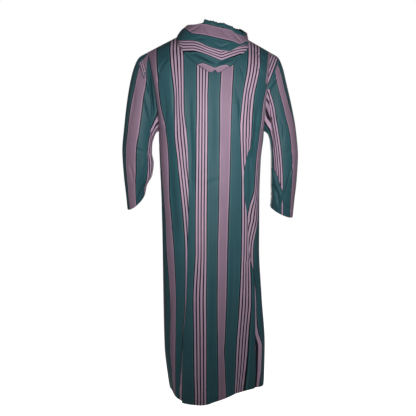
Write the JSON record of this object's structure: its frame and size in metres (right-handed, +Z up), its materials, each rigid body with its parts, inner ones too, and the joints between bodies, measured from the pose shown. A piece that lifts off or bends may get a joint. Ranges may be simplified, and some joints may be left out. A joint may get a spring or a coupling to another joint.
{
  "type": "hooded striped thobe",
  "caption": "Ankle-length hooded robe as worn, hollow: straight body with deep drape folds, long set-in sleeves, lowered pointed hood with a gathered rim casing and a short front neck slit",
  "frame": {"origin": "the middle of the base of the neck opening, level with the top of the shoulder seams, where the wearer holds the garment up", "axes": "+Z up along the wearer's height, -Y the way the wearer faces, +X to the wearer's left"},
  "size_m": [0.699, 0.3211, 1.4711],
  "materials": {
    "striped_cloth": "smooth, slightly satiny woven cloth in deep green with mauve bands and groups of fine mauve and dark lines",
    "plain_cloth": "smooth, slightly satiny woven cloth in deep green"
  },
  "bodies": {
    "root": {"back": "striped_cloth", "front": "striped_cloth", "sleeve_left": "striped_cloth", "sleeve_right": "striped_cloth", "hood_left": "striped_cloth", "hood_right": "striped_cloth", "hood_casing": "plain_cloth"}
  },
  "joints": []
}
